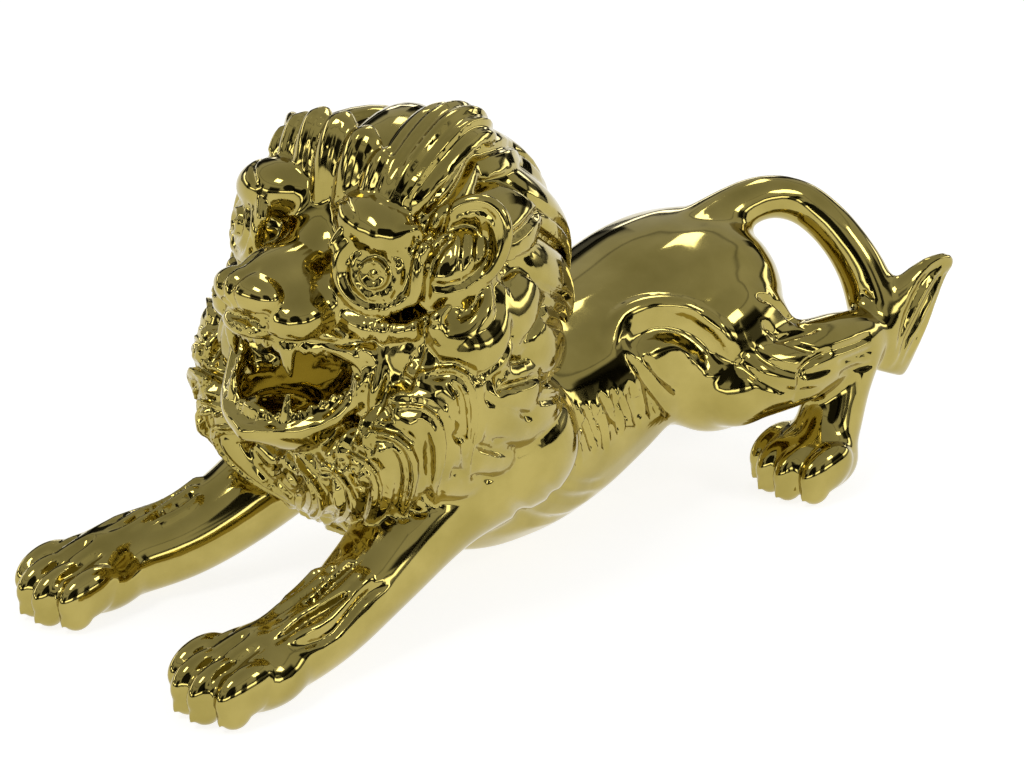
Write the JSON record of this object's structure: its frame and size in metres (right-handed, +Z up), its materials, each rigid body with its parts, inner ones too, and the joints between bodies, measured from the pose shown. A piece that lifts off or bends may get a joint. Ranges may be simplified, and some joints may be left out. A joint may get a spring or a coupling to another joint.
{
  "type": "lion figurine",
  "caption": "Cast figurine of a roaring lion stretched forward on its front legs, with a full mane, a raised rump and a tail that loops down to the hock.",
  "frame": {"origin": "on the ground, below the middle of the figure's length and width", "axes": "+Z up, the lion faces -Y and its tail ends toward +Y, +X is the lion's left"},
  "size_m": [0.0754, 0.2, 0.0981],
  "materials": {
    "gold": "mirror-polished gold plating over a smooth casting"
  },
  "bodies": {
    "root": {"lion": "gold"}
  },
  "joints": []
}
